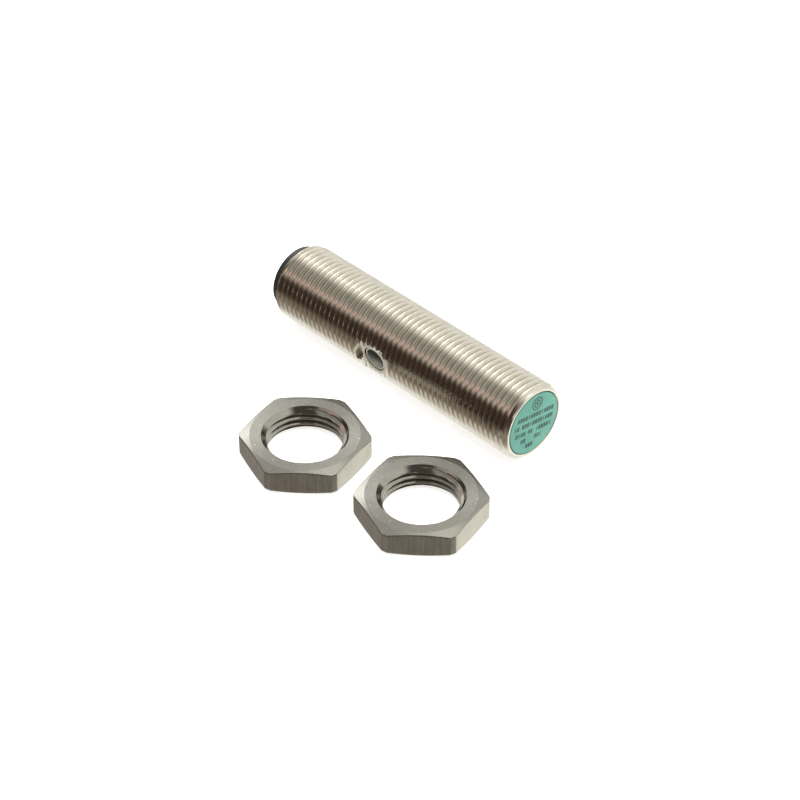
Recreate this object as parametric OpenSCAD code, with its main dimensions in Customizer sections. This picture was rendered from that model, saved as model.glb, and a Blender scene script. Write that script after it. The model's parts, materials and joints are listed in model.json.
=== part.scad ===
// Cylindrical inductive proximity sensor with a threaded housing, a pin
// connector at its rear end, and two hexagon nuts that clamp it in a bracket.
//
// The sensor lies along X. The origin is the centre of the sensing face, +X
// points out of that face and +Z is up. The surface that the sensor and the
// nuts lie on is one thread radius below the sensor's axis.
// All lengths are in millimetres.

/* [Threaded housing] */
// Outer diameter of the thread
thread_d = 12; // [11.9:0.05:12]
// Distance from one thread crest to the next
thread_pitch = 1; // [0.9:0.05:1]
// Length from the sensing face to the rear edge of the metal
housing_length = 48.5; // [48.5:0.5:60]
// Distance from the sensing face to the first full crest
first_crest = 1.1; // [1:0.05:1.2]
// Setback of the metal's front edge behind the sensing face
front_setback = 0.05; // [0.05:0.05:0.15]
// Radius of the metal's front edge
front_edge_r = 5.45; // [5.4:0.01:5.5]
// Radius of the metal's rear edge
rear_edge_r = 5.15; // [5.1:0.05:5.3]
// Radius of the bore behind the sensing cap
bore_r = 5; // [4.99:0.01:5.02]
// Radius of the wider bore that takes the sensing cap
cap_bore_r = 5.09; // [5.08:0.01:5.12]

/* [Indicator window] */
// Distance from the sensing face to the centre of the window
window_from_face = 27.3; // [26:0.1:29]
// Direction of the window, in degrees below the horizontal
window_dip = 10; // [0:1:30]
// Radius of the window hole
window_r = 2.05; // [1.8:0.05:2.1]
// Radius of the milled flat round the window
flat_r = 3.45; // [3:0.05:3.6]
// Distance from the axis to the milled flat
flat_height = 5.25; // [5.2:0.05:5.4]
// Radius of the unbroken land round the window, at the height of the flat
land_r = 2.5; // [2.3:0.1:2.8]
// Depth of the window's surface below the milled flat
window_recess = 0.15; // [0.05:0.05:0.2]
// Radius of the window's inner light guide
guide_r = 1.2; // [1:0.1:1.4]
// Distance from the axis to the step between light guide and window
guide_step = 3.6; // [3.4:0.1:3.8]

/* [Sensing head] */
// Outer radius of the sensing cap
cap_r = 5.07; // [5.05:0.01:5.07]
// Length of the sensing cap
cap_length = 9; // [8.5:0.1:9.2]
// Thickness of the cap's side wall
cap_wall = 0.22; // [0.2:0.01:0.22]
// Thickness of the cap's sensing face
cap_face = 0.6; // [0.5:0.05:0.65]
// Size of the bevel round the sensing face
cap_bevel = 0.12; // [0.05:0.01:0.2]
// Radius of the ferrite core
core_r = 4.65; // [4.6:0.01:4.65]
// Height of the ferrite core
core_height = 2.7; // [2.6:0.1:2.8]
// Inner radius of the core's winding groove
groove_inner_r = 1.95; // [1.9:0.05:2]
// Outer radius of the core's winding groove
groove_outer_r = 3.75; // [3.7:0.05:3.8]
// Depth of the core's winding groove
groove_depth = 1.8; // [1.7:0.05:1.9]
// Radius of the hole through the core's centre post
core_hole_r = 1; // [0.8:0.1:1.1]
// Thickness of the coil bobbin's walls
bobbin_wall = 0.2; // [0.15:0.05:0.25]
// Gap between parts that are placed inside one another
inner_gap = 0.03; // [0.02:0.01:0.04]
// Length of the shield ring round the core
shield_length = 3.3; // [3:0.1:3.5]
// Length of the plastic carrier behind the core
carrier_length = 3.2; // [3:0.1:3.5]
// Radius of each coil lead
lead_r = 0.12; // [0.1:0.01:0.15]
// Distance of a coil lead from the board's middle plane
lead_offset = 1.2; // [1.1:0.1:1.3]
// Distance of each coil lead from the board's centre line
lead_side = 2.6; // [2.5:0.05:2.7]

/* [Electronics] */
// Thickness of the circuit board
board_thickness = 0.8; // [0.6:0.1:0.9]
// Width of the circuit board
board_width = 8.8; // [8.4:0.1:9]
// Distance from the sensing face to the board's front end
board_front = 4.9; // [4.8:0.1:5.2]
// Distance from the sensing face to the board's rear end
board_rear = 36.2; // [36:0.1:36.3]
// Half the height of the space left free of resin round the board's parts
part_space = 2.1; // [2.1:0.05:2.2]
// Distance from the sensing face to the resin's rear end
resin_rear = 35.5; // [35:0.1:35.6]

/* [Connector] */
// Outer radius of the connector body inside the metal
insert_r = 4.95; // [4.93:0.01:4.98]
// Radius of the connector body's collar, which seats on the metal's rear edge
collar_r = 5.07; // [5.04:0.01:5.09]
// Length of the connector body outside the metal
insert_proud = 0.95; // [0.7:0.05:1.2]
// Radius of the connector's socket
socket_r = 4.3; // [4.25:0.05:4.35]
// Depth of the connector's socket
socket_depth = 8.45; // [8.2:0.05:8.6]
// Thickness of the connector body behind the socket
insert_base = 3; // [2.8:0.1:3.1]
// Width of the coding rib in the socket
rib_width = 1.2; // [1:0.1:1.4]
// Height of the coding rib
rib_height = 0.6; // [0.5:0.05:0.7]
// Radius of the contact pins in the socket
pin_r = 0.5; // [0.48:0.01:0.5]
// Radius of each pin's shoulder, which holds it in the connector body
pin_shoulder_r = 0.75; // [0.7:0.05:0.8]
// Radius of each pin's solder tail behind the connector body
pin_tail_r = 0.3; // [0.27:0.01:0.32]
// Distance of each pin from the connector's two middle planes
pin_offset = 2; // [1.95:0.05:2.05]
// Depth of the pin tips inside the socket's mouth
pin_tip_depth = 1.15; // [0.9:0.05:1.3]
// Length of each pin's tail behind the connector body
pin_tail = 1; // [0.8:0.1:1]
// Radius of the wires between pins and board
wire_r = 0.25; // [0.2:0.01:0.25]
// Radius of the seal's round section
seal_r = 0.3; // [0.28:0.01:0.32]

/* [Mounting nuts] */
// Distance across a nut's flats
nut_flats = 17; // [16.8:0.1:17]
// Thickness of a nut
nut_thickness = 4; // [3.6:0.1:4.5]
// Radius to which a nut's corners are turned
nut_corner_r = 9.55; // [9.4:0.05:9.7]
// Radius of a nut's flat bearing face
nut_face_r = 8; // [7.8:0.1:8.2]
// Slope of the chamfer on a nut's corners, in degrees
nut_chamfer = 15; // [10:1:20]
// Radius of the countersink at each end of a nut's thread
nut_mouth_r = 6.35; // [6.3:0.05:6.5]
// Centre of the first nut along X
nut_1_x = -23.1; // [-26:0.1:-22]
// Centre of the first nut along Y
nut_1_y = -23.2; // [-30:0.1:-18]
// Centre of the second nut along X
nut_2_x = -2.2; // [-2.2:0.1:6]
// Centre of the second nut along Y
nut_2_y = -20.6; // [-30:0.1:-18]
// Direction of a nut corner, in degrees from X
nut_turn = 42; // [0:1:59]

/* [Hidden] */
$fn = 96;

// Standard metric thread form, as fractions of the pitch
external_depth = 0.6134;
internal_depth = 0.5413;
narrow_flat = 0.125;
wide_flat = 0.25;
thread_r = thread_d / 2;
root_r = thread_r - external_depth * thread_pitch;
nut_minor_r = thread_r - internal_depth * thread_pitch;
crest_count = floor((housing_length - first_crest) / thread_pitch) + 1;

// Extra length of a cutter beyond the body that it cuts
over = 1;

// Places along the sensor's own axis, which runs forward from the rear
metal_front = -front_setback;
metal_rear = -housing_length;
insert_rear = metal_rear - insert_proud;
socket_floor = insert_rear + socket_depth;
insert_front = socket_floor + insert_base;
pin_front = insert_front + pin_tail;
core_front = -cap_face;
core_back = core_front - core_height;
carrier_back = core_back - carrier_length;
cap_inner_r = cap_r - cap_wall;
board_face = board_thickness / 2;
floor_z = -thread_r;

// Lays a child that was built along Z on the sensor's axis, and turns its own
// X to the direction in which the window looks
module on_axis() {
    rotate([0, 90, 0]) rotate([0, 0, window_dip - 90]) children();
}

// A ring or tube between two radii and two places along the axis
module tube(outer_r, inner_r, front, back) {
    translate([0, 0, back])
        difference() {
            cylinder(r = outer_r, h = front - back);
            translate([0, 0, -over])
                cylinder(r = inner_r, h = front - back + 2 * over);
        }
}

// A block that stands on the board: side 1 is the window's side
module on_board(side, along, across, size) {
    translate([side * (board_face + size[0] / 2), across, -along])
        cube(size, center = true);
}

// ---- Housing ----

// One thread crest of the housing, from its front foot to its rear foot
function crest_points(i) =
    let (c = -first_crest - (i - 1) * thread_pitch,
         top = narrow_flat * thread_pitch / 2,
         foot = (1 - wide_flat) * thread_pitch / 2)
    [[root_r, c + foot], [thread_r, c + top],
     [thread_r, c - top], [root_r, c - foot]];

module thread_outline() {
    polygon(concat(
        [[0, metal_front + over]],
        [for (i = [0 : crest_count]) each crest_points(i)],
        [[0, metal_rear - over]]));
}

module housing_envelope() {
    front_bevel = thread_r - front_edge_r;
    rear_bevel = thread_r - rear_edge_r;
    polygon([
        [0, metal_front], [front_edge_r, metal_front],
        [thread_r, metal_front - front_bevel],
        [thread_r, metal_rear + rear_bevel],
        [rear_edge_r, metal_rear], [0, metal_rear]]);
}

module housing_bore() {
    cap_seat = -cap_length - inner_gap;
    polygon([
        [0, metal_front + over], [cap_bore_r, metal_front + over],
        [cap_bore_r, cap_seat], [bore_r, cap_seat],
        [bore_r, metal_rear - over], [0, metal_rear - over]]);
}

// A round bar along the direction in which the window looks
module window_bar(radius, from, to) {
    translate([from, 0, -window_from_face])
        rotate([0, 90, 0]) cylinder(r = radius, h = to - from);
}

module housing() {
    color([0.78, 0.75, 0.68])
        on_axis()
        difference() {
            union() {
                rotate_extrude()
                    intersection() {
                        thread_outline();
                        housing_envelope();
                    }
                window_bar(land_r, guide_step, flat_height);
            }
            rotate_extrude() housing_bore();
            window_bar(flat_r, flat_height, thread_r + over);
            window_bar(window_r, guide_step, thread_r + over);
        }
}

module led_window() {
    surface = flat_height - window_recess;
    fit_r = window_r - inner_gap;
    color([0.72, 0.78, 0.70, 0.8])
        on_axis() {
            window_bar(guide_r, board_face + led_size[0], guide_step);
            window_bar(fit_r, guide_step, surface);
        }
}

// ---- Sensing head ----

module sensing_cap() {
    color([0.38, 0.70, 0.63])
        on_axis()
        rotate_extrude()
        polygon([
            [0, 0], [cap_r - cap_bevel, 0], [cap_r, -cap_bevel],
            [cap_r, -cap_length], [cap_inner_r, -cap_length],
            [cap_inner_r, -cap_face], [0, -cap_face]]);
}

// The two places where the coil's leads pass, as holes or as wires
module at_leads() {
    for (side = [-1, 1])
        translate([lead_offset, side * lead_side, 0]) children();
}

module lead_holes() {
    at_leads()
        translate([0, 0, carrier_back - over])
        cylinder(r = 2 * lead_r, h = core_front - carrier_back);
}

module ferrite_core() {
    groove_floor = core_front - groove_depth;
    color([0.20, 0.19, 0.19])
        on_axis()
        difference() {
            tube(core_r, core_hole_r, core_front, core_back);
            tube(groove_outer_r, groove_inner_r, core_front + over, groove_floor);
            lead_holes();
        }
}

module coil_bobbin() {
    spool_front = core_front - inner_gap;
    spool_back = core_front - groove_depth + inner_gap;
    spool_r = groove_outer_r - inner_gap;
    hub_r = groove_inner_r + inner_gap;
    color([0.90, 0.88, 0.80])
        on_axis()
        difference() {
            tube(spool_r, hub_r, spool_front, spool_back);
            tube(spool_r + over, hub_r + bobbin_wall,
                 spool_front - bobbin_wall, spool_back + bobbin_wall);
            lead_holes();
        }
}

module coil_winding() {
    coil_front = core_front - 2 * inner_gap - bobbin_wall;
    coil_back = core_front - groove_depth + 2 * inner_gap + bobbin_wall;
    color([0.72, 0.40, 0.20])
        on_axis()
        tube(groove_outer_r - bobbin_wall,
             groove_inner_r + 2 * inner_gap + bobbin_wall,
             coil_front, coil_back);
}

module coil_leads() {
    coil_back = core_front - groove_depth + 2 * inner_gap + bobbin_wall;
    bend = carrier_back - 4 * lead_r;
    color([0.75, 0.45, 0.25])
        on_axis()
        at_leads() {
            translate([0, 0, bend]) cylinder(r = lead_r, h = coil_back - bend);
            translate([0, 0, bend]) sphere(r = lead_r);
            translate([board_face - lead_offset, 0, bend])
                rotate([0, 90, 0])
                cylinder(r = lead_r, h = lead_offset - board_face);
        }
}

module shield_ring() {
    color([0.80, 0.62, 0.30])
        on_axis()
        tube(cap_inner_r - inner_gap, core_r + inner_gap,
             core_front - inner_gap, core_front - shield_length);
}

module core_carrier() {
    color([0.25, 0.25, 0.26])
        on_axis()
        difference() {
            tube(core_r, core_hole_r, core_back, carrier_back);
            translate([0, 0, -board_front + inner_gap - board_rear / 2])
                cube([board_thickness + 2 * inner_gap,
                      board_width + 2 * inner_gap, board_rear], center = true);
            lead_holes();
        }
}

// ---- Electronics ----

// Each row: board side, distance from the face, offset across the board
resistor_places = [
    [1, 9.5, -3.2], [1, 9.5, 0], [1, 9.5, 3.2], [1, 19.5, -3],
    [-1, 14, -3], [-1, 14, 0], [-1, 14, 3], [-1, 23, -2.5], [-1, 23, 2.5]];
capacitor_places = [
    [1, 21.5, 3], [-1, 10, -2.5], [-1, 10, 2.5], [-1, 18.5, 0],
    [-1, 27, -2.4], [-1, 27, 2.4]];
diode_places = [[-1, 31, -2.2], [-1, 31, 2.2]];

resistor_size = [0.45, 0.8, 1.6];
capacitor_size = [0.85, 1.25, 2];
diode_size = [1.1, 1.6, 2.8];
led_size = [0.8, 1.25, 2];
ic_size = [1.45, 3.9, 4.9];
ic_from_face = 14.5;
transistor_size = [1.45, 2.5, 4.5];
transistor_from_face = 32;
package_leg = [0.2, 1, 0.4];
leg_pitch = 1.27;

module circuit_board() {
    color([0.10, 0.40, 0.22])
        on_axis()
        translate([-board_face, -board_width / 2, -board_rear])
        cube([board_thickness, board_width, board_rear - board_front]);
}

// A moulded chip with a row of flat legs on both sides
module chip_package(along, size, legs) {
    on_board(1, along, 0, size);
    for (side = [-1, 1], i = [0 : legs - 1])
        on_board(1, along + (i - (legs - 1) / 2) * leg_pitch,
                 side * (size[1] + package_leg[1]) / 2, package_leg);
}

module sensor_ic() {
    color([0.12, 0.12, 0.13])
        on_axis() chip_package(ic_from_face, ic_size, 4);
}

module output_transistor() {
    color([0.12, 0.12, 0.13])
        on_axis() chip_package(transistor_from_face, transistor_size, 3);
}

// The same small block at each of a list of places on the board
module chip_parts(places, size) {
    for (p = places) on_board(p[0], p[1], p[2], size);
}

module protection_diodes() {
    color([0.15, 0.15, 0.16]) on_axis() chip_parts(diode_places, diode_size);
}

module chip_resistors() {
    color([0.10, 0.10, 0.12])
        on_axis() chip_parts(resistor_places, resistor_size);
}

module chip_capacitors() {
    color([0.66, 0.54, 0.40])
        on_axis() chip_parts(capacitor_places, capacitor_size);
}

module indicator_led() {
    color([0.95, 0.90, 0.55])
        on_axis() on_board(1, window_from_face, 0, led_size);
}

// Cast resin in the two segments of the tube that the board and its parts
// leave free
module potting_compound() {
    resin_r = bore_r - inner_gap;
    resin_front = cap_length + 2 * inner_gap;
    color([0.16, 0.16, 0.17])
        on_axis()
        difference() {
            translate([0, 0, -resin_rear])
                cylinder(r = resin_r, h = resin_rear - resin_front);
            translate([0, 0, -resin_rear / 2])
                cube([2 * part_space, 2 * thread_d, 2 * resin_rear],
                     center = true);
            window_bar(guide_r + inner_gap, 0, guide_step);
            window_bar(window_r, guide_step - inner_gap, thread_r);
        }
}

// ---- Connector ----

pin_signs = [[1, 1], [1, -1], [-1, -1], [-1, 1]];
seal_groove_r = bore_r - 2 * seal_r;
seal_groove_width = 0.72;
seal_from_front = 1.5;
insert_bevel = 0.2;
rib_setback = 0.8;
rib_root = 0.15;

module connector_insert() {
    seal_z = insert_front - seal_from_front;
    color([0.09, 0.09, 0.10])
        on_axis()
        difference() {
            union() {
                rotate_extrude()
                    polygon([
                        [0, insert_front], [insert_r, insert_front],
                        [insert_r, metal_rear], [collar_r, metal_rear],
                        [collar_r, insert_rear + insert_bevel],
                        [collar_r - insert_bevel, insert_rear],
                        [socket_r, insert_rear], [socket_r, socket_floor],
                        [0, socket_floor]]);
                translate([-rib_width / 2, socket_r - rib_height,
                           insert_rear + rib_setback])
                    cube([rib_width, rib_height + rib_root,
                          socket_depth - rib_setback + inner_gap]);
            }
            tube(thread_r, seal_groove_r, seal_z + seal_groove_width / 2,
                 seal_z - seal_groove_width / 2);
            for (s = pin_signs)
                translate([s[0] * pin_offset, s[1] * pin_offset,
                           socket_floor - over])
                    cylinder(r = pin_shoulder_r, h = insert_base + 2 * over);
        }
}

module insert_o_ring() {
    color([0.05, 0.05, 0.05])
        on_axis()
        translate([0, 0, insert_front - seal_from_front])
        rotate_extrude()
        translate([seal_groove_r + seal_r, 0]) circle(r = seal_r - inner_gap / 3);
}

// A round pin with a domed tip and a thicker shoulder, at one of four places
module contact_pin(i) {
    tip = insert_rear + pin_tip_depth + pin_r;
    color([0.85, 0.68, 0.30])
        on_axis()
        translate([pin_signs[i][0] * pin_offset, pin_signs[i][1] * pin_offset, 0]) {
            translate([0, 0, tip]) sphere(r = pin_r);
            translate([0, 0, tip]) cylinder(r = pin_r, h = socket_floor - tip);
            translate([0, 0, socket_floor])
                cylinder(r = pin_shoulder_r, h = insert_base);
            translate([0, 0, insert_front])
                cylinder(r = pin_tail_r, h = pin_tail);
        }
}

// Four wires that step from the pins' tails in to the board's two faces
module pin_wires() {
    pad = board_face + wire_r;
    bend = pin_front + 2 * wire_r;
    step = pin_offset - pad;
    color([0.75, 0.74, 0.70])
        on_axis()
        for (s = pin_signs)
            translate([s[0] * pin_offset, s[1] * pin_offset, 0])
                mirror([s[0] < 0 ? 1 : 0, 0, 0]) {
                    translate([0, 0, pin_front])
                        cylinder(r = wire_r, h = bend - pin_front);
                    translate([0, 0, bend]) sphere(r = wire_r);
                    translate([-step, 0, bend])
                        rotate([0, 90, 0]) cylinder(r = wire_r, h = step);
                    translate([-step, 0, bend]) sphere(r = wire_r);
                    translate([-step, 0, bend])
                        cylinder(r = wire_r, h = 4 * wire_r);
                }
}

// ---- Nuts ----

// One thread groove of a nut, at a height above the nut's lower face
function nut_groove(height) =
    let (foot = (1 - wide_flat) * thread_pitch / 2,
         top = narrow_flat * thread_pitch / 2)
    [[nut_minor_r, height - foot], [thread_r, height - top],
     [thread_r, height + top], [nut_minor_r, height + foot]];

module nut_hole_outline() {
    sink = nut_mouth_r - nut_minor_r;
    middle = nut_thickness / 2;
    polygon(concat(
        [[0, -over], [nut_mouth_r, -over], [nut_mouth_r, 0],
         [nut_minor_r, sink]],
        nut_groove(middle - thread_pitch / 2),
        nut_groove(middle + thread_pitch / 2),
        [[nut_minor_r, nut_thickness - sink], [nut_mouth_r, nut_thickness],
         [nut_mouth_r, nut_thickness + over], [0, nut_thickness + over]]));
}

module nut_blank() {
    corner_drop = (nut_corner_r - nut_face_r) * tan(nut_chamfer);
    intersection() {
        cylinder(d = nut_flats / cos(30), h = nut_thickness, $fn = 6);
        rotate_extrude()
            polygon([
                [0, 0], [nut_face_r, 0], [nut_corner_r, corner_drop],
                [nut_corner_r, nut_thickness - corner_drop],
                [nut_face_r, nut_thickness], [0, nut_thickness]]);
    }
}

module mounting_nut(x, y) {
    color([0.72, 0.71, 0.67])
        translate([x, y, floor_z])
        rotate([0, 0, nut_turn])
        difference() {
            nut_blank();
            rotate_extrude() nut_hole_outline();
        }
}

module mounting_nut_1() { mounting_nut(nut_1_x, nut_1_y); }
module mounting_nut_2() { mounting_nut(nut_2_x, nut_2_y); }

housing();
sensing_cap();
ferrite_core();
coil_bobbin();
coil_winding();
shield_ring();
core_carrier();
coil_leads();
circuit_board();
sensor_ic();
output_transistor();
protection_diodes();
chip_resistors();
chip_capacitors();
indicator_led();
led_window();
potting_compound();
connector_insert();
insert_o_ring();
contact_pin(0);  // contact_pin_1
contact_pin(1);  // contact_pin_2
contact_pin(2);  // contact_pin_3
contact_pin(3);  // contact_pin_4
pin_wires();
mounting_nut_1();
mounting_nut_2();
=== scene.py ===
"""Visual model of a threaded proximity sensor and its two mounting nuts.

Every length is in metres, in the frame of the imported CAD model: the origin is
the centre of the sensing face, +X points out of it, and +Z is up.
"""
import json
import math

import bmesh
import bpy
from mathutils import Matrix, Vector


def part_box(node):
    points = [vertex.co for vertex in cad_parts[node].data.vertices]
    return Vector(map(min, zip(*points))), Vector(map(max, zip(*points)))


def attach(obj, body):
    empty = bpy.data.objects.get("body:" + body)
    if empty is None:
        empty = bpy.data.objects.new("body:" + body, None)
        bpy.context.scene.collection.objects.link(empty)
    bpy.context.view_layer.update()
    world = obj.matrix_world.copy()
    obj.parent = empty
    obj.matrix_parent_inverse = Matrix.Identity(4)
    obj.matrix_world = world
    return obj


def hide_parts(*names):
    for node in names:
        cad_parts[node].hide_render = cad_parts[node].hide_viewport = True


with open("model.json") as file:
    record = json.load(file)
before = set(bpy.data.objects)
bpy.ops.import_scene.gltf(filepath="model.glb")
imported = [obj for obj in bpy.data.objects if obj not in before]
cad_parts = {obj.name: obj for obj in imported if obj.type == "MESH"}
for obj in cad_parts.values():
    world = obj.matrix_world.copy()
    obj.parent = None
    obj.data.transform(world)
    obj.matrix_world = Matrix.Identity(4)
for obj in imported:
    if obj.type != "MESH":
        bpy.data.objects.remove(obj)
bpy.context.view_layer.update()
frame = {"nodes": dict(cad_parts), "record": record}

MM = 0.001
TURN = 2 * math.pi

# ---- Sizes, from the frame ----

housing_low, housing_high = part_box("housing")
cap_low, cap_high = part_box("sensing_cap")
insert_low, insert_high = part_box("connector_insert")
nut_low, nut_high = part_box("mounting_nut_1")

THREAD_R = housing_high.y
METAL_FRONT = housing_high.x
METAL_REAR = housing_low.x
CAP_R = cap_high.y
COLLAR_R = insert_high.y
INSERT_REAR = insert_low.x
INSERT_FRONT = insert_high.x
FLOOR_Z = housing_low.z
NUT_THICKNESS = nut_high.z - nut_low.z

# ---- Sizes that the CAD model names ----

PITCH = 1.0 * MM
CREST_PHASE = -1.1 * MM
EXTERNAL_DEPTH = 0.6134
INTERNAL_DEPTH = 0.5413
NARROW_FLAT = 0.125
WIDE_FLAT = 0.25
FRONT_EDGE_R = 5.45 * MM
REAR_EDGE_R = 5.15 * MM
BORE_R = 5.0 * MM
CAP_BORE_R = 5.09 * MM
CAP_SEAT = -9.03 * MM
CAP_WALL = 0.22 * MM
CAP_FACE = 0.6 * MM
INSERT_R = 4.95 * MM
WINDOW_X = -27.3 * MM
WINDOW_ANGLE = math.radians(190)
WINDOW_R = 2.05 * MM
FLAT_R = 3.45 * MM
FLAT_HEIGHT = 5.25 * MM
LAND_R = 2.5 * MM
WINDOW_INNER = 3.6 * MM
WINDOW_TOP = 5.1 * MM
GUIDE_R = 1.2 * MM
GUIDE_LOW = 1.2 * MM
SOCKET_R = 4.3 * MM
SOCKET_DEPTH = 8.45 * MM
RIB_WIDTH = 1.2 * MM
RIB_HEIGHT = 0.6 * MM
RIB_SETBACK = 0.8 * MM
NUT_FLATS = 17.0 * MM
NUT_CORNER_R = 9.55 * MM
NUT_FACE_R = 8.0 * MM
NUT_CHAMFER = math.radians(15)
NUT_MOUTH_R = 6.35 * MM
NUT_TURN = math.radians(42)
NUT_PHASE = -0.1 * MM

# ---- Sizes that only this model has ----

SAMPLES = 16            # points along one pitch of a thread
SENSOR_COLUMNS = 144    # points round the sensor
WINDOW_COLUMNS = 96     # points round the window
RIM_OUTER = 1.9 * MM    # the lens's raised rim
RIM_INNER = 1.7 * MM
# The lens from its rim inwards: drop below its top and distance in, in mm
LENS_OUTLINE = [(0.03, 0.02), (0, 0.06), (0, 0.14), (0.03, 0.18), (0.07, 0.21),
                (0.05, 0.5), (0.03, 0.9), (0.015, 1.4)]


# ---- Turned surfaces ----

def on_sensor(axial, radius, angle):
    """A point at a place along the sensor's axis; angle runs from +Y to +Z."""
    return Vector((axial, radius * math.cos(angle), radius * math.sin(angle)))


def on_nut(axial, radius, angle):
    """A point of a nut whose lower face is centred on its own origin."""
    return Vector((radius * math.cos(angle), radius * math.sin(angle), axial))


def even_angles(count):
    return [TURN * j / count for j in range(count)]


def thread_profile(outer, depth):
    """Radii over one pitch from a crest, with its corners rounded off."""
    foot = (1 - WIDE_FLAT) / 2
    top = NARROW_FLAT / 2
    sharp = []
    for i in range(SAMPLES):
        away = min(i, SAMPLES - i) / SAMPLES
        fall = min(max((away - top) / (foot - top), 0), 1)
        sharp.append(outer - fall * depth)
    return [(sharp[i - 1] + 6 * sharp[i] + sharp[(i + 1) % SAMPLES]) / 8
            for i in range(SAMPLES)]


class Turned:
    """A surface made of rings of points round one axis."""

    def __init__(self, place, angles):
        self.place = place
        self.angles = angles
        self.verts = []
        self.faces = []

    def point(self, axial, radius, j):
        self.verts.append(self.place(axial, radius, self.angles[j]))
        return len(self.verts) - 1

    def ring(self, axial, radius):
        """axial and radius are numbers, or functions of the angle."""
        ring = []
        for j, angle in enumerate(self.angles):
            a = axial(angle) if callable(axial) else axial
            r = radius(angle) if callable(radius) else radius
            ring.append(self.point(a, r, j))
        return ring

    def face(self, *corners):
        kept = [c for k, c in enumerate(corners) if c != corners[k - 1]]
        if len(set(kept)) > 2:
            self.faces.append(kept)

    def bridge(self, ring_a, ring_b):
        for j in range(len(ring_a)):
            self.face(ring_a[j - 1], ring_a[j], ring_b[j], ring_b[j - 1])
        return ring_b

    def path(self, ring, points):
        """Goes on from a ring through (axial, radius) points."""
        for axial, radius in points:
            ring = self.bridge(ring, self.ring(axial, radius))
        return ring

    def thread(self, low, high, phase, profile, limit):
        """A right-hand thread between two ends. Returns the two end rings.

        limit(axial, radius) gives the radius that the end chamfers leave.
        """
        columns = len(self.angles)
        first = math.floor((low - phase) / PITCH * SAMPLES) - SAMPLES
        last = math.ceil((high - phase) / PITCH * SAMPLES)
        ring_low = [self.point(low, limit(low, profile[0]), j) for j in range(columns)]
        ring_high = [self.point(high, limit(high, profile[0]), j) for j in range(columns)]
        grid = []
        for i in range(first, last + 1):
            row = []
            for j, angle in enumerate(self.angles):
                axial = phase + PITCH * (i / SAMPLES + angle / TURN)
                if axial <= low:
                    row.append(ring_low[j])
                elif axial >= high:
                    row.append(ring_high[j])
                else:
                    radius = limit(axial, profile[i % SAMPLES])
                    row.append(self.point(axial, radius, j))
            grid.append(row)
        # The last column meets the first one pitch further on
        for i in range(last - first):
            for j in range(columns):
                if j + 1 < columns:
                    right_low, right_high = grid[i][j + 1], grid[i + 1][j + 1]
                else:
                    right_low = grid[min(i + SAMPLES, last - first)][0]
                    right_high = grid[min(i + 1 + SAMPLES, last - first)][0]
                self.face(grid[i][j], right_low, right_high, grid[i + 1][j])
        return ring_low, ring_high

    def object(self, name):
        return mesh_object(name, self.verts, self.faces)


# ---- Meshes and objects ----

def mesh_object(name, verts, faces):
    mesh = bpy.data.meshes.new(name)
    mesh.from_pydata([tuple(v) for v in verts], [], faces)
    obj = bpy.data.objects.new(name, mesh)
    bpy.context.collection.objects.link(obj)
    tidy_normals(obj)
    return obj


def tidy_normals(obj, sharp_angle=math.radians(38)):
    """Faces point outwards, and edges sharper than an angle stay sharp."""
    bm = bmesh.new()
    bm.from_mesh(obj.data)
    bmesh.ops.delete(bm, geom=[v for v in bm.verts if not v.link_faces], context="VERTS")
    bmesh.ops.recalc_face_normals(bm, faces=bm.faces)
    for face in bm.faces:
        face.smooth = True
    for edge in bm.edges:
        edge.smooth = edge.is_manifold and edge.calc_face_angle(0) < sharp_angle
    bm.to_mesh(obj.data)
    bm.free()


def combine(obj, other, operation):
    """Cuts other from obj, or joins it to obj, and removes other."""
    boolean = obj.modifiers.new("combine", "BOOLEAN")
    boolean.operation = operation
    boolean.solver = "MANIFOLD"
    boolean.object = other
    graph = bpy.context.evaluated_depsgraph_get()
    result = bpy.data.meshes.new_from_object(obj.evaluated_get(graph))
    obj.modifiers.remove(boolean)
    obj.data = result
    bpy.data.objects.remove(other)
    tidy_normals(obj)


WINDOW_OUT = on_sensor(0, 1, WINDOW_ANGLE)
WINDOW_DOWN = Vector((0, -WINDOW_OUT.z, WINDOW_OUT.y))


def on_window(axial, radius, angle):
    """A point round the window's axis; axial runs out from the sensor's axis."""
    return (Vector((WINDOW_X + radius * math.cos(angle), 0, 0)) + WINDOW_OUT * axial
            + WINDOW_DOWN * (radius * math.sin(angle)))


def window_cylinder(radius, low, high):
    """A closed cylinder along the direction in which the window looks."""
    solid = Turned(on_window, even_angles(WINDOW_COLUMNS))
    bottom = solid.ring(low, radius)
    top = solid.path(bottom, [(high, radius)])
    solid.faces += [bottom, top]
    return solid.object("window_cylinder")


def finish_piece(obj, body, slot, material, *nodes):
    """Gives a piece its material and the body it rides, and hides the CAD nodes it stands for."""
    obj.data.materials.clear()
    obj.data.materials.append(material)
    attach(obj, body)
    if nodes:
        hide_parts(*nodes)


# ---- Sensor pieces ----

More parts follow.
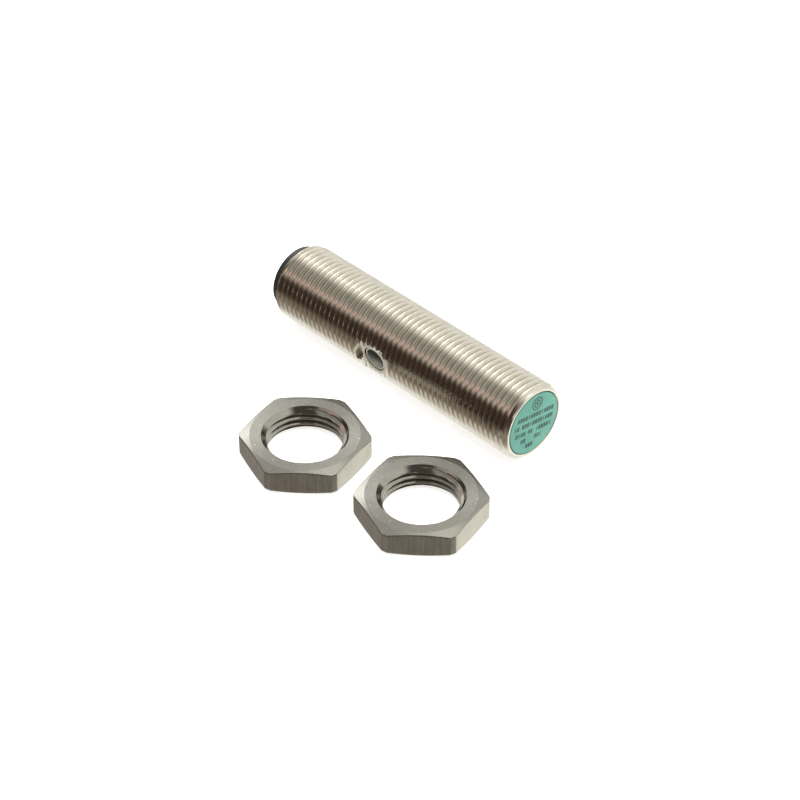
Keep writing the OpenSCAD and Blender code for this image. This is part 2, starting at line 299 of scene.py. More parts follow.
def build_housing():
    """The threaded tube, with its thread as a true helix."""
    def envelope(axial, radius):
        front = FRONT_EDGE_R + (METAL_FRONT - axial)
        rear = REAR_EDGE_R + (axial - METAL_REAR)
        return min(radius, front, rear)

    tube = Turned(on_sensor, even_angles(SENSOR_COLUMNS))
    profile = thread_profile(THREAD_R, EXTERNAL_DEPTH * PITCH)
    rear, front = tube.thread(METAL_REAR, METAL_FRONT, CREST_PHASE, profile, envelope)
    lip = 0.06 * MM
    end = tube.path(front, [
        (METAL_FRONT, CAP_BORE_R + lip), (METAL_FRONT - lip, CAP_BORE_R),
        (CAP_SEAT, CAP_BORE_R), (CAP_SEAT, BORE_R),
        (METAL_REAR + lip, BORE_R), (METAL_REAR, BORE_R + lip)])
    tube.bridge(end, rear)
    housing = tube.object("threaded_housing")
    combine(housing, window_cylinder(FLAT_R, FLAT_HEIGHT, THREAD_R + MM), "DIFFERENCE")
    combine(housing, window_land(), "UNION")
    combine(housing, window_cylinder(WINDOW_R, WINDOW_INNER, THREAD_R + MM), "DIFFERENCE")
    return housing


def window_land():
    """Fills the grooves round the window up to the flat, clear of the bore."""
    clearance = 0.06 * MM
    radius = BORE_R + clearance
    bore = Turned(on_sensor, even_angles(SENSOR_COLUMNS))
    near = bore.ring(WINDOW_X - 2 * LAND_R, radius)
    far = bore.path(near, [(WINDOW_X + 2 * LAND_R, radius)])
    bore.faces += [near, far]
    land = window_cylinder(LAND_R, WINDOW_INNER, FLAT_HEIGHT)
    combine(land, bore.object("bore"), "DIFFERENCE")
    return land


def build_cap():
    """The teal cup, with a softly rounded edge round its face."""
    edge = 0.12 * MM
    seam = 0.07 * MM
    seam_depth = 0.5 * MM
    steps = 5
    cap = Turned(on_sensor, even_angles(SENSOR_COLUMNS))
    inner = cap.ring(-CAP_FACE, CAP_R - CAP_WALL)
    back = cap.path(inner, [(cap_low.x, CAP_R - CAP_WALL), (cap_low.x, CAP_R),
                            (-seam_depth - seam, CAP_R), (-seam_depth, CAP_R - seam)])
    arc = [(-edge * (1 - math.sin(TURN / 4 * k / steps)),
            CAP_R - seam - edge * (1 - math.cos(TURN / 4 * k / steps)))
           for k in range(steps + 1)]
    front = cap.path(back, arc)
    cap.faces += [front, inner]
    return cap.object("sensing_face_cap")


def build_insert():
    """The black connector body: a collar outside, a keyed socket inside."""
    edge = 0.15 * MM
    floor = INSERT_REAR + SOCKET_DEPTH
    body = Turned(on_sensor, even_angles(SENSOR_COLUMNS))
    front = body.ring(INSERT_FRONT, INSERT_R)
    mouth = body.path(front, [
        (METAL_REAR, INSERT_R), (METAL_REAR, COLLAR_R),
        (INSERT_REAR + edge, COLLAR_R), (INSERT_REAR + edge / 3, COLLAR_R - edge / 3),
        (INSERT_REAR, COLLAR_R - edge), (INSERT_REAR, SOCKET_R + edge),
        (INSERT_REAR + edge / 3, SOCKET_R + edge / 3), (INSERT_REAR + edge, SOCKET_R),
        (floor, SOCKET_R)])
    body.faces += [front, mouth]
    insert = body.object("connector_body")
    combine(insert, coding_rib(floor), "UNION")
    return insert


def coding_rib(floor):
    """The rib that lets a cable socket go in one way only."""
    sunk = 0.1 * MM
    corners = []
    for axial in (INSERT_REAR + RIB_SETBACK, floor + sunk):
        for height in (SOCKET_R - RIB_HEIGHT, SOCKET_R + sunk):
            for side in (-RIB_WIDTH / 2, RIB_WIDTH / 2):
                corners.append(Vector((axial, 0, 0)) + WINDOW_DOWN * height + WINDOW_OUT * side)
    faces = [(0, 1, 3, 2), (4, 6, 7, 5), (0, 4, 5, 1), (2, 3, 7, 6), (0, 2, 6, 4), (1, 5, 7, 3)]
    return mesh_object("coding_rib", corners, faces)


def build_window():
    """The lamp's lens: a raised rim round a slight dome, on a thinner light guide."""
    clearance = 0.03 * MM
    rim_height = 0.16 * MM
    fit_r = WINDOW_R - clearance
    ledge = WINDOW_TOP - rim_height
    lens = Turned(on_window, even_angles(WINDOW_COLUMNS))
    bottom = lens.ring(GUIDE_LOW, GUIDE_R)
    lens.faces.append(bottom)
    rim = [(WINDOW_INNER, GUIDE_R), (WINDOW_INNER, fit_r), (ledge, fit_r), (ledge, RIM_OUTER)]
    outline = rim + [(WINDOW_TOP - drop * MM, RIM_OUTER - inset * MM) for drop, inset in LENS_OUTLINE]
    lens.faces.append(lens.path(bottom, outline))
    return lens.object("indicator_window")


# ---- Printed marks on the sensing face ----

PRINT_TILT = math.radians(-9.7)
PRINT_LOW = -0.004 * MM
PRINT_HIGH = 0.012 * MM
LINE_HEIGHT = 0.7 * MM
STROKE = 0.155 * MM
CELL_WIDTH = 0.40 * MM
CELL_PITCH = 0.55 * MM
# The shapes in turn: heights of the rungs between two bars, from 0 to 1, or
# nothing for one bar alone
LADDERS = [(0,), (0, 1), (0, 0.5, 1), None, (1,)]
TARGET_UP = 3.35 * MM
TARGET_DOT_R = 0.22 * MM
TARGET_RINGS = [(1.08 * MM, 0.92 * MM), (0.66 * MM, 0.50 * MM)]
# Each line: height above the face's centre, and where its words begin and end
PRINT_LINES = [
    (1.50, [(-3.75, 3.75)]),
    (0.17, [(-4.2, -2.9), (-2.6, 4.2)]),
    (-1.16, [(-3.7, -1.5), (-1.1, 0.1), (0.6, 3.7)]),
    (-2.42, [(-2.35, -1.05), (0.5, 2.4)]),
    (-3.55, [(-1.15, 0.75)]),
]


def on_face(along, up, depth):
    """A point of the sensing face, in the directions of the printed lines."""
    c, s = math.cos(PRINT_TILT), math.sin(PRINT_TILT)
    return Vector((depth, along * c - up * s, along * s + up * c))


def prism(outline, verts, faces):
    """Adds a thin closed plate with that outline to verts and faces."""
    base = len(verts)
    count = len(outline)
    for depth in (PRINT_LOW, PRINT_HIGH):
        verts += [on_face(along, up, depth) for along, up in outline]
    faces.append([base + k for k in reversed(range(count))])
    faces.append([base + count + k for k in range(count)])
    for k in range(count):
        n = (k + 1) % count
        faces.append([base + k, base + n, base + count + n, base + count + k])


def print_ring(centre_up, outer, inner, verts, faces):
    """Adds a thin flat ring, centred above the face's centre."""
    columns = 48
    for j in range(columns):
        corners = []
        for radius, angle in ((outer, j), (outer, j + 1), (inner, j + 1), (inner, j)):
            a = TURN * angle / columns
            corners.append((radius * math.cos(a), centre_up + radius * math.sin(a)))
        base = len(verts)
        for depth in (PRINT_LOW, PRINT_HIGH):
            verts += [on_face(along, up, depth) for along, up in corners]
        faces += [[base + 3, base + 2, base + 1, base], [base + 4, base + 5, base + 6, base + 7],
                  [base, base + 1, base + 5, base + 4], [base + 2, base + 3, base + 7, base + 6]]


def print_bar(x, y, width, height, verts, faces):
    prism([(x, y), (x + width, y), (x + width, y + height), (x, y + height)], verts, faces)


def print_ladder(along, low, rungs, verts, faces):
    """Adds two upright bars with rungs between them, or one bar for no rungs."""
    slit = 0.012 * MM
    for side in ((0, 1) if rungs else (0.5,)):
        print_bar(along + side * (CELL_WIDTH - STROKE), low, STROKE, LINE_HEIGHT, verts, faces)
    for rung in rungs or ():
        print_bar(along + STROKE + slit, low + rung * (LINE_HEIGHT - STROKE),
                  CELL_WIDTH - 2 * (STROKE + slit), STROKE, verts, faces)


def build_print():
    """Meaningless bars and ladders in lines, under a plain target of rings."""
    verts, faces = [], []
    count = 0
    for height, words in PRINT_LINES:
        for start, end in words:
            number = max(round((end - start) * MM / CELL_PITCH), 1)
            for k in range(number):
                # Steps of seven bring the shapes in an uneven order
                rungs = LADDERS[count * 7 % len(LADDERS)]
                print_ladder(start * MM + k * CELL_PITCH, height * MM - LINE_HEIGHT / 2, rungs,
                             verts, faces)
                count += 1
    for outer, inner in TARGET_RINGS:
        print_ring(TARGET_UP, outer, inner, verts, faces)
    prism([(TARGET_DOT_R * math.cos(a), TARGET_UP + TARGET_DOT_R * math.sin(a))
           for a in even_angles(24)], verts, faces)
    marks = mesh_object("face_print", verts, faces)
    weld(marks)
    return marks


def weld(obj, distance=1e-7):
    """Joins points that lie in one place."""
    bm = bmesh.new()
    bm.from_mesh(obj.data)
    bmesh.ops.remove_doubles(bm, verts=bm.verts, dist=distance)
    bm.to_mesh(obj.data)
    bm.free()
    tidy_normals(obj)


# ---- Nuts ----

def nut_angles():
    """Even steps over each flat, and close ones over each turned corner."""
    flat_end = 27.1
    last_even = 26.7
    steps = 22
    flat = [last_even * (2 * k / steps - 1) for k in range(steps + 1)]
    corner = [flat_end, 27.6, 28.8, 30, 31.2, 32.4, 60 - flat_end]
    return [math.radians(60 * side + a) for side in range(6) for a in flat + corner]


def nut_wall(angle):
    """Distance from the nut's axis to its side, corners turned round."""
    sextant = TURN / 6
    from_flat = (angle + sextant / 2) % sextant - sextant / 2
    return min(NUT_FLATS / 2 / math.cos(from_flat), NUT_CORNER_R)


def build_nut():
    """One nut, standing on its own origin, with a helical thread inside."""
    minor = THREAD_R - INTERNAL_DEPTH * PITCH
    profile = [THREAD_R + minor - r for r in thread_profile(THREAD_R, THREAD_R - minor)]

    def countersink(axial, radius):
        return max(radius, NUT_MOUTH_R - min(axial, NUT_THICKNESS - axial))

    def chamfer(radius):
        return (radius - NUT_FACE_R) * math.tan(NUT_CHAMFER)

    def mirrored(height):
        return (lambda a: NUT_THICKNESS - height(a)) if callable(height) else NUT_THICKNESS - height

    # near is how close the extra rings are that keep flat faces evenly lit
    edge = 0.1 * MM
    lip = 0.05 * MM
    near = 0.03 * MM
    lower_half = [
        (lambda a: chamfer(nut_wall(a)) + edge + near, nut_wall),
        (lambda a: chamfer(nut_wall(a)) + edge, nut_wall),
        (lambda a: chamfer(nut_wall(a)) + edge / 4, lambda a: nut_wall(a) - edge / 4),
        (lambda a: chamfer(nut_wall(a) - edge), lambda a: nut_wall(a) - edge),
        (lambda a: chamfer(nut_wall(a) - edge - near), lambda a: nut_wall(a) - edge - near),
        (chamfer(NUT_FACE_R + near), NUT_FACE_R + near),
        (0, NUT_FACE_R), (0, NUT_FACE_R - near), (0, NUT_MOUTH_R + lip)]
    upper_half = [(mirrored(height), radius) for height, radius in reversed(lower_half)]
    nut = Turned(on_nut, nut_angles())
    low, high = nut.thread(0, NUT_THICKNESS, NUT_PHASE, profile, countersink)
    nut.bridge(nut.path(high, upper_half + lower_half), low)
    return nut.object("nut")


def place_nut(nut, node):
    """Puts a nut where the CAD model has it, with a corner at angle NUT_TURN."""
    low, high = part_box(node)
    nut.data.transform(Matrix.Rotation(NUT_TURN - TURN / 12, 4, "Z"))
    nut.location = ((low.x + high.x) / 2, (low.y + high.y) / 2, low.z)
    bpy.context.view_layer.update()


# ---- Node helpers ----

def add_node(tree, kind, inputs=None, **settings):
    """A new node. An input is a number, a colour, or another node's socket."""
    made = tree.nodes.new(kind)
    for key, value in settings.items():
        setattr(made, key, value)
    for key, value in (inputs or {}).items():
        if isinstance(value, bpy.types.NodeSocket):
            tree.links.new(value, made.inputs[key])
        else:
            made.inputs[key].default_value = value
    return made


def maths(tree, operation, a, b=0.0):
    """The socket of a sum or function of one or two values."""
    return add_node(tree, "ShaderNodeMath", {0: a, 1: b}, operation=operation).outputs[0]


def ramp(tree, value, low, high, to_low=0.0, to_high=1.0):
    """value, from low to high, becomes to_low to to_high, with soft ends."""
    made = add_node(tree, "ShaderNodeMapRange",
                    {"Value": value, "From Min": low, "From Max": high,
                     "To Min": to_low, "To Max": to_high},
                    interpolation_type="SMOOTHSTEP")
    return made.outputs["Result"]


def contrast(tree, value, to_low=0.0, to_high=1.0):
    """Spreads noise, most of which lies between 0.3 and 0.7."""
    return ramp(tree, value, 0.3, 0.7, to_low, to_high)


def mix(tree, factor, a, b):
    """Goes from a to b as factor goes from 0 to 1."""
    made = add_node(tree, "ShaderNodeMix", data_type="RGBA")
    for key, value in ((0, factor), (6, a), (7, b)):
        if isinstance(value, bpy.types.NodeSocket):
            tree.links.new(value, made.inputs[key])
        else:
            made.inputs[key].default_value = value
    return made.outputs[2]


def scaled_place(tree, scale):
    """Object coordinates in metres, times a scale along each axis."""
    place = add_node(tree, "ShaderNodeTexCoord").outputs["Object"]
    return add_node(tree, "ShaderNodeMapping", {"Vector": place, "Scale": scale}).outputs[0]


def noise(tree, vector, detail=3.0):
    made = add_node(tree, "ShaderNodeTexNoise",
                    {"Vector": vector, "Scale": 1.0, "Detail": detail, "Roughness": 0.6})
    return made.outputs["Fac"]


def rgba(colour):
    return (*colour, 1.0)


class Material:
    """A Principled surface whose colour, gloss and relief come from noise.

    A name in shader is that of a socket, with _ for each space.
    """

    def __init__(self, name, metallic=0.0, **shader):
        self.material = bpy.data.materials.new(name)
        self.material.use_nodes = True
        self.tree = self.material.node_tree
        self.shader = self.tree.nodes["Principled BSDF"]
        self.shader.inputs["Metallic"].default_value = metallic
        for key, value in shader.items():
            self.shader.inputs[key.replace("_", " ")].default_value = value

    def colour(self, socket):
        self.tree.links.new(socket, self.shader.inputs["Base Color"])

    def roughness(self, socket):
        self.tree.links.new(socket, self.shader.inputs["Roughness"])

    def relief(self, height, depth):
        """Bump, with its depth in metres from the lowest to the highest point."""
        bump = add_node(self.tree, "ShaderNodeBump",
                        {"Height": height, "Distance": depth, "Strength": 1.0})
        self.tree.links.new(bump.outputs[0], self.shader.inputs["Normal"])


def grained(name, dark, light, grain, rough, relief, metallic=0.0, **shader):
    """A surface with one grain: its size along x, y and z is in metres."""
    made = Material(name, metallic, **shader)
    tree = made.tree
    fine = noise(tree, scaled_place(tree, tuple(1 / g for g in grain)))
    cloud = noise(tree, scaled_place(tree, (400, 400, 400)), detail=2.0)
    both = maths(tree, "ADD", maths(tree, "MULTIPLY", fine, 0.6), maths(tree, "MULTIPLY", cloud, 0.4))
    made.colour(mix(tree, contrast(tree, both), rgba(dark), rgba(light)))
    made.roughness(contrast(tree, both, *rough))
    made.relief(fine, relief)
    return made.material


# ---- Materials ----

def distance_from(tree, a, b):
    """Length of the vector whose two parts are a and b."""
    return maths(tree, "SQRT", maths(tree, "ADD", maths(tree, "MULTIPLY", a, a),
                                     maths(tree, "MULTIPLY", b, b)))


def window_parts(tree, place):
    """How far a point is along the sensor and downwards from the window's axis."""
    along = maths(tree, "SUBTRACT", add_node(tree, "ShaderNodeSeparateXYZ", {0: place}).outputs[0],
                  WINDOW_X)
    down = add_node(tree, "ShaderNodeVectorMath", {0: place, 1: WINDOW_DOWN},
                    operation="DOT_PRODUCT").outputs["Value"]
    return along, down


def nickel_thread():
    """Nickel plating over cut thread: turning marks round the axis, painted shade
    in the grooves, and a dark seam where the cap goes in."""
    made = Material("nickel_thread", metallic=1.0)
    tree = made.tree
    marks = noise(tree, scaled_place(tree, (16000, 500, 500)), detail=4.0)
    cloud = noise(tree, scaled_place(tree, (600, 600, 600)), detail=3.0)
    place = add_node(tree, "ShaderNodeTexCoord").outputs["Object"]
    split = add_node(tree, "ShaderNodeSeparateXYZ", {0: place}).outputs
    radius = distance_from(tree, split[1], split[2])
    # 1 at the bottom of a groove, and 0 near both ends and on the window's flat: where the grooves get
    # painted shade
    groove_shade_mask = ramp(tree, radius, THREAD_R - 0.62 * PITCH, THREAD_R - 0.25 * PITCH, 1.0, 0.0)
    behind_front = ramp(tree, split[0], -0.9 * MM, -0.5 * MM, 1.0, 0.0)
    before_rear = ramp(tree, split[0], METAL_REAR + 0.4 * MM, METAL_REAR + 0.8 * MM)
    along, down = window_parts(tree, place)
    off_flat = ramp(tree, distance_from(tree, along, down), FLAT_R - 0.2 * MM, FLAT_R + 0.1 * MM)
    for part in (behind_front, before_rear, off_flat):
        groove_shade_mask = maths(tree, "MULTIPLY", groove_shade_mask, part)
    plain = mix(tree, ramp(tree, cloud, 0.35, 0.65), rgba((0.71, 0.685, 0.625)), rgba((0.79, 0.765, 0.71)))
    # Painted shade: the colour darkens towards brown at the bottom of each groove
    shaded_in_grooves = mix(tree, maths(tree, "MULTIPLY", groove_shade_mask, 0.4), plain, rgba((0.30, 0.26, 0.21)))
    seam = ramp(tree, radius, CAP_BORE_R + 0.005 * MM, CAP_BORE_R + 0.03 * MM, 1.0, 0.0)
    made.colour(mix(tree, seam, shaded_in_grooves, rgba((0.03, 0.03, 0.025))))
    made.roughness(contrast(tree, marks, 0.07, 0.17))
    made.relief(marks, 0.0008 * MM)
    return made.material


def nut_nickel():
    """Nickel plated nut: turned rings on its faces, drawn lines on its sides,
    flat faces painted darker as painted shade, and a smoother hole."""
    made = Material("nut_nickel", metallic=1.0, Anisotropic=0.8, Anisotropic_Rotation=0.25)
    tree = made.tree
    around = add_node(tree, "ShaderNodeTangent", direction_type="RADIAL", axis="Z").outputs[0]
    tree.links.new(around, made.shader.inputs["Tangent"])
    coordinates = add_node(tree, "ShaderNodeTexCoord").outputs
    split = add_node(tree, "ShaderNodeSeparateXYZ", {0: coordinates["Object"]}).outputs
    normal = add_node(tree, "ShaderNodeSeparateXYZ", {0: coordinates["Normal"]}).outputs
    radius = distance_from(tree, split[0], split[1])
    angle = maths(tree, "ARCTAN2", split[1], split[0])
    rings = add_node(tree, "ShaderNodeCombineXYZ",
                     {0: maths(tree, "MULTIPLY", radius, 14000), 1: maths(tree, "MULTIPLY", angle, 5.0),
                      2: 0.0}).outputs[0]
    turned = noise(tree, rings, detail=4.0)
    drawn = noise(tree, scaled_place(tree, (5000, 5000, 180)), detail=4.0)
    upright = maths(tree, "ABSOLUTE", normal[2])
    marks = mix(tree, ramp(tree, upright, 0.3, 0.7), drawn, turned)
    cloud = noise(tree, scaled_place(tree, (500, 500, 500)), detail=3.0)
    grain = contrast(tree, marks)
    sides = mix(tree, grain, rgba((0.34, 0.333, 0.307)), rgba((0.44, 0.432, 0.40)))
    # Painted shade: the flat faces take a darker copy of the sides' colour
    faces = mix(tree, grain, rgba((0.20, 0.198, 0.184)), rgba((0.275, 0.272, 0.255)))
    plain = mix(tree, ramp(tree, upright, 0.93, 0.985), sides, faces)
    stained = mix(tree, ramp(tree, cloud, 0.45, 0.8, 0.0, 0.5), plain, rgba((0.24, 0.225, 0.195)))
    nicks = noise(tree, scaled_place(tree, (2600, 2600, 2600)), detail=1.0)
    made.colour(mix(tree, ramp(tree, nicks, 0.74, 0.80), stained, rgba((0.52, 0.51, 0.48))))
    smoother = ramp(tree, radius, NUT_MOUTH_R - 0.05 * MM, NUT_MOUTH_R, 0.45, 1.0)
    made.roughness(maths(tree, "MULTIPLY", contrast(tree, marks, 0.22, 0.34), smoother))
    made.relief(marks, 0.0016 * MM)
    return made.material


def teal_plastic():
    """Fine matt moulding with a faint speckle."""
    made = Material("teal_plastic", Specular_IOR_Level=0.4, Subsurface_Weight=0.06)
    made.shader.inputs["Subsurface Radius"].default_value = (0.2 * MM, 0.6 * MM, 0.5 * MM)
    tree = made.tree
    speckle = noise(tree, scaled_place(tree, (9000, 9000, 9000)), detail=4.0)
    cloud = noise(tree, scaled_place(tree, (350, 350, 350)), detail=2.0)
    plain = mix(tree, contrast(tree, cloud), rgba((0.108, 0.355, 0.295)), rgba((0.134, 0.40, 0.335)))
    made.colour(mix(tree, ramp(tree, speckle, 0.55, 0.8, 0.0, 0.35), plain, rgba((0.23, 0.52, 0.45))))
    made.roughness(contrast(tree, speckle, 0.42, 0.55))
    made.relief(speckle, 0.008 * MM)
    return made.material


def window_resin():
    """Clear resin, slightly cloudy: darker above, partly painted shade from the hole's wall
    and partly dark potting seen through it, and lighter below with painted light; a painted
    highlight on its rim, and a painted shadow on the ledge outside it, lighter at the bottom."""
    made = Material("window_resin", Transmission_Weight=0.1, IOR=1.5, Specular_IOR_Level=0.1)
    tree = made.tree
    place = add_node(tree, "ShaderNodeTexCoord").outputs["Object"]
    cloud = noise(tree, scaled_place(tree, (900, 900, 900)), detail=3.0)
    along, down = window_parts(tree, place)
    radius = distance_from(tree, along, down)
    drift = maths(tree, "MULTIPLY", maths(tree, "SUBTRACT", cloud, 0.5), 0.9 * MM)
    depth = maths(tree, "ADD", down, drift)
    # Painted shade and light: dark at the top, partly the hole wall's shade and partly dark potting,
    # lighter at the bottom
    lens = mix(tree, ramp(tree, depth, -0.9 * MM, 1.8 * MM), rgba((0.006, 0.006, 0.004)),
               rgba((0.27, 0.29, 0.24)))
    # Painted highlight: a pale ring round the lens's rim
    rim = ramp(tree, radius, RIM_INNER - 0.03 * MM, RIM_INNER + 0.02 * MM)
    ledge = ramp(tree, radius, RIM_OUTER - 0.01 * MM, RIM_OUTER + 0.02 * MM)
    lens_with_rim_highlight = mix(tree, rim, lens, rgba((0.62, 0.61, 0.54)))
    # Painted shadow on the ledge outside the rim, lighter at the bottom
    shade = mix(tree, ramp(tree, down, 0.9 * MM, 1.5 * MM), rgba((0.03, 0.029, 0.025)),
                rgba((0.42, 0.41, 0.36)))
    made.colour(mix(tree, ledge, lens_with_rim_highlight, shade))
    made.roughness(contrast(tree, cloud, 0.10, 0.18))
    made.relief(cloud, 0.01 * MM)
    return made.material


def wound_copper():
    """Enamelled wire laid in close turns, with painted shade between the turns and a painted highlight
    along each.
    """
    made = Material("wound_copper", metallic=1.0)
    tree = made.tree
    turns = add_node(tree, "ShaderNodeTexWave",
                     {"Vector": scaled_place(tree, (1, 1, 1)), "Scale": 1 / (0.5 * MM), "Distortion": 0.4},
                     bands_direction="X").outputs["Fac"]
    # Painted shade and highlight: each turn is dark at one side and bright along the other
    made.colour(mix(tree, turns, rgba((0.22, 0.08, 0.03)), rgba((0.70, 0.30, 0.12))))
    made.roughness(ramp(tree, turns, 0.0, 1.0, 0.45, 0.25))
    made.relief(turns, 0.04 * MM)
    return made.material


def board_laminate():
    """Green solder mask over the lines of the copper tracks."""
    made = Material("board_laminate", Coat_Weight=0.3)
    tree = made.tree
    tracks = add_node(tree, "ShaderNodeTexBrick",
                      {"Vector": scaled_place(tree, (1, 1, 1)), "Scale": 1 / (2.4 * MM),
                       "Mortar Size": 0.06, "Color1": rgba((0.02, 0.14, 0.06)),
                       "Color2": rgba((0.03, 0.18, 0.08)), "Mortar": rgba((0.08, 0.34, 0.16))})
    fine = noise(tree, scaled_place(tree, (6000, 6000, 6000)))
    made.colour(tracks.outputs["Color"])
    made.roughness(contrast(tree, fine, 0.3, 0.45))
    made.relief(maths(tree, "SUBTRACT", fine, tracks.outputs["Fac"]), 0.03 * MM)
    return made.material


def even(size):
    """The same grain size, in mm, along all three axes."""
    return (size * MM, size * MM, size * MM)


def inner_materials():
    """Materials of the pieces inside the tube and of the connector, by slot."""
    lengthways = (1.5 * MM, 0.05 * MM, 0.05 * MM)
    ringways = (0.04 * MM, 1.5 * MM, 1.5 * MM)
    return {
        "black_plastic": grained("black_plastic", (0.012, 0.012, 0.013), (0.028, 0.028, 0.03),
                                 even(0.06), (0.38, 0.55), 0.01 * MM),
        "ferrite": grained("ferrite", (0.03, 0.028, 0.03), (0.085, 0.08, 0.085),
                           even(0.05), (0.5, 0.75), 0.01 * MM),
        "cream_plastic": grained("cream_plastic", (0.66, 0.60, 0.46), (0.82, 0.77, 0.63),
                                 even(0.2), (0.4, 0.6), 0.008 * MM),
        "copper_wire": wound_copper(),
        "shield_brass": grained("shield_brass", (0.55, 0.36, 0.13), (0.78, 0.57, 0.26),
                                ringways, (0.2, 0.4), 0.006 * MM, metallic=1.0),
        "grey_plastic": grained("grey_plastic", (0.07, 0.07, 0.08), (0.13, 0.13, 0.14),
                                even(0.12), (0.4, 0.6), 0.01 * MM),
        "board_laminate": board_laminate(),
        "chip_moulding": grained("chip_moulding", (0.014, 0.014, 0.016), (0.04, 0.04, 0.043),
                                 even(0.04), (0.45, 0.65), 0.01 * MM),
        "capacitor_ceramic": grained("capacitor_ceramic", (0.36, 0.25, 0.15), (0.52, 0.39, 0.25),
                                     even(0.1), (0.4, 0.6), 0.008 * MM),
        "lamp_resin": grained("lamp_resin", (0.75, 0.66, 0.25), (0.95, 0.88, 0.50),
                              even(0.3), (0.12, 0.25), 0.004 * MM),
        "cast_resin": grained("cast_resin", (0.02, 0.02, 0.024), (0.06, 0.06, 0.066),
                              even(0.6), (0.25, 0.45), 0.03 * MM),
        "seal_rubber": grained("seal_rubber", (0.01, 0.01, 0.01), (0.025, 0.025, 0.025),
                               even(0.1), (0.55, 0.75), 0.01 * MM),
        "gold_plate": grained("gold_plate", (0.72, 0.47, 0.13), (0.90, 0.66, 0.27),
                              lengthways, (0.16, 0.30), 0.003 * MM, metallic=1.0),
        "tinned_wire": grained("tinned_wire", (0.50, 0.50, 0.48), (0.75, 0.75, 0.72),
                               lengthways, (0.2, 0.4), 0.004 * MM, metallic=1.0),
    }


def print_ink():
    """Dark pad-printed ink, worn thin in places."""
    return grained("print_ink", (0.015, 0.036, 0.033), (0.045, 0.09, 0.08),
                   even(0.08), (0.5, 0.7), 0.003 * MM)


# ---- Studio ----

# Metal shows its surroundings, so these are drawn as cards round the object.
# Each card: azimuth and half its width in degrees, its softness, its lowest
# and highest elevation, their softness, and its colour. Later cards lie over
# earlier ones.
CARDS = [
    # Pale ground, and paler ground straight below
    (200, 180, 1, -90, 0, 12, (0.88, 0.86, 0.79)),
    (0, 180, 1, -90, -54, 8, (1.02, 1.0, 0.92)),
    # A large soft light with two bright lamps near it
    (150, 45, 20, 18, 75, 10, (1.22, 1.19, 1.10)),
    (159, 16, 6, 24, 43, 4, (4.2, 4.2, 4.0)),
    (116, 25, 10, 58, 74, 4, (2.6, 2.5, 2.25)),
    # Lit ground on the right, and dim ground in front
    (60, 40, 12, -60, -25, 8, (1.15, 1.11, 1.0)),
    (76, 22, 8, -55, -24, 8, (1.65, 1.6, 1.42)),
    (315, 34, 8, -56, -22, 8, (0.42, 0.37, 0.31)),
    # A dark wall with a brown edge, which the thread mirrors as a dark band
    (278, 96, 14, -50, 30, 11, (0.28, 0.232, 0.185)),
    (278, 96, 14, -23, 24, 10, (0.068, 0.045, 0.034)),
    # A grey wall, a pink strip low on it, and a dark patch high up
    (225, 45, 25, 28, 80, 6, (0.44, 0.43, 0.385)),
    (228, 45, 12, 31, 39, 3, (1.0, 0.74, 0.69)),
    (315, 40, 12, 35, 80, 8, (0.10, 0.085, 0.07)),
]
SKY = (0.98, 0.96, 0.87)


def card_weight(tree, direction, height, card):
    """How much of a card is seen in a direction: 0 outside it, 1 inside."""
    azimuth, half, soft, low, high, edge, _ = card
    whole_circle = 180
    centre = (math.cos(math.radians(azimuth)), math.sin(math.radians(azimuth)), 0)
    ahead = add_node(tree, "ShaderNodeVectorMath", {0: direction, 1: centre}, operation="DOT_PRODUCT")
    level = maths(tree, "SQRT", maths(tree, "SUBTRACT", 1.0, maths(tree, "POWER", height, 2.0)))
    across = maths(tree, "DIVIDE", ahead.outputs["Value"], maths(tree, "MAXIMUM", level, 1e-4))
    outer = math.cos(math.radians(min(half + soft, whole_circle)))
    inner = math.cos(math.radians(max(half - soft, 0)))
    elevation = maths(tree, "DEGREES", maths(tree, "ARCSINE", height))
    above = ramp(tree, elevation, low - edge, low + edge)
    below = ramp(tree, elevation, high - edge, high + edge, 1.0, 0.0)
    weight = maths(tree, "MULTIPLY", above, below)
    if half < whole_circle:
        weight = maths(tree, "MULTIPLY", weight, ramp(tree, across, outer, inner))
    return weight


def build_surroundings():
    """Draws the cards on the sky."""
    world = bpy.data.worlds.new("studio")
    bpy.context.scene.world = world
    world.use_nodes = True
    tree = world.node_tree
    direction = add_node(tree, "ShaderNodeTexCoord").outputs["Generated"]
    height = add_node(tree, "ShaderNodeSeparateXYZ", {0: direction}).outputs[2]
    colour = rgba(SKY)
    for card in CARDS:
        colour = mix(tree, card_weight(tree, direction, height, card), colour, rgba(card[-1]))
    tree.links.new(colour, tree.nodes["Background"].inputs["Color"])


def plain_material(name, glow):
    """Matt white for the stage."""
    colour = (0.93, 0.93, 0.925)
    material = bpy.data.materials.new(name)
    material.use_nodes = True
    shader = material.node_tree.nodes["Principled BSDF"]
    shader.inputs["Base Color"].default_value = rgba(colour)
    shader.inputs["Roughness"].default_value = 0.9
    shader.inputs["Emission Color"].default_value = rgba(colour)
    shader.inputs["Emission Strength"].default_value = glow
    return material


def hidden_from(obj, *rays):
    for ray in rays:
        setattr(obj, "visible_" + ray, False)


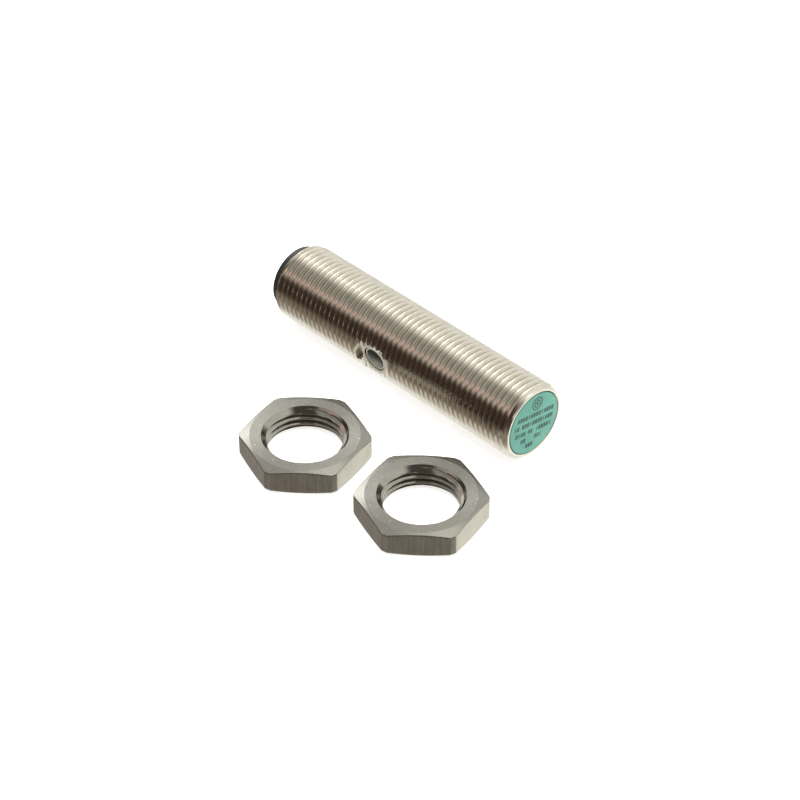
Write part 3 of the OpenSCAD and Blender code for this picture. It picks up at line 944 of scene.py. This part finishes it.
def build_stage():
    """A pale floor and a pale dome behind it. Metal doesn't mirror them."""
    radius = 1.5
    gap = 0.01 * MM
    bpy.ops.mesh.primitive_circle_add(vertices=96, radius=radius, fill_type="NGON",
                                      location=(0, 0, FLOOR_Z - gap))
    floor = bpy.context.object
    floor.name = "floor"
    floor.data.materials.append(plain_material("floor_white", glow=0.8))
    hidden_from(floor, "glossy")
    bpy.ops.mesh.primitive_uv_sphere_add(segments=64, ring_count=32, radius=radius)
    dome = bpy.context.object
    dome.name = "backdrop"
    dome.data.materials.append(plain_material("backdrop_white", glow=1.0))
    hidden_from(dome, "glossy", "diffuse", "shadow", "transmission")


def build_light():
    """One large soft light overhead."""
    light = bpy.data.lights.new("overhead_softbox", "AREA")
    light.size = 0.6
    light.energy = 2.2
    light.color = (1.0, 0.99, 0.97)
    obj = bpy.data.objects.new("overhead_softbox", light)
    bpy.context.collection.objects.link(obj)
    obj.location = (-0.05, 0.05, 0.5)
    obj.rotation_euler = obj.location.to_track_quat("Z", "Y").to_euler()
    hidden_from(obj, "glossy")


# ---- Camera ----

CAMERA_AZIMUTH = math.radians(45.1)
CAMERA_ELEVATION = math.radians(39.5)
CAMERA_DISTANCE = 391.4 * MM
CAMERA_TARGET = Vector((-22.35 * MM, -4.76 * MM, FLOOR_Z))
CAMERA_SENSOR_WIDTH = 36.0
CAMERA_LENS = 119.15


def build_camera():
    """Looks at the target from an azimuth that runs from -Y towards +X."""
    data = bpy.data.cameras.new("camera")
    data.sensor_width = CAMERA_SENSOR_WIDTH
    data.lens = CAMERA_LENS
    data.clip_start = 0.01
    camera = bpy.data.objects.new("camera", data)
    bpy.context.collection.objects.link(camera)
    back = Vector((math.sin(CAMERA_AZIMUTH) * math.cos(CAMERA_ELEVATION),
                   -math.cos(CAMERA_AZIMUTH) * math.cos(CAMERA_ELEVATION),
                   math.sin(CAMERA_ELEVATION)))
    camera.location = CAMERA_TARGET + back * CAMERA_DISTANCE
    camera.rotation_euler = back.to_track_quat("Z", "Y").to_euler()
    bpy.context.scene.camera = camera


# ---- Assembly ----

def build_model():
    """Builds the pieces, and gives the CAD nodes that stay their materials."""
    inner = inner_materials()
    finish_piece(build_housing(), "sensor", "nickel_plated_brass", nickel_thread(), "housing")
    finish_piece(build_cap(), "sensor", "teal_plastic", teal_plastic(), "sensing_cap")
    finish_piece(build_print(), "sensor", "black_plastic", print_ink())
    finish_piece(build_insert(), "sensor", "black_plastic", inner["black_plastic"], "connector_insert")
    finish_piece(build_window(), "sensor", "clear_resin", window_resin(), "led_window")
    nickel = nut_nickel()
    for body in ("nut_1", "nut_2"):
        node = "mounting_" + body
        nut = build_nut()
        nut.name = "hexagon_" + body
        place_nut(nut, node)
        finish_piece(nut, body, "nut_nickel", nickel, node)
    slots = {part["node"]: part["material_slot"] for part in frame["record"]["subparts"]}
    for node, obj in frame["nodes"].items():
        if slots[node] in inner:
            obj.data.materials.clear()
            obj.data.materials.append(inner[slots[node]])


build_model()
build_surroundings()
build_stage()
build_light()
build_camera()
bpy.context.scene.view_settings.view_transform = "Standard"
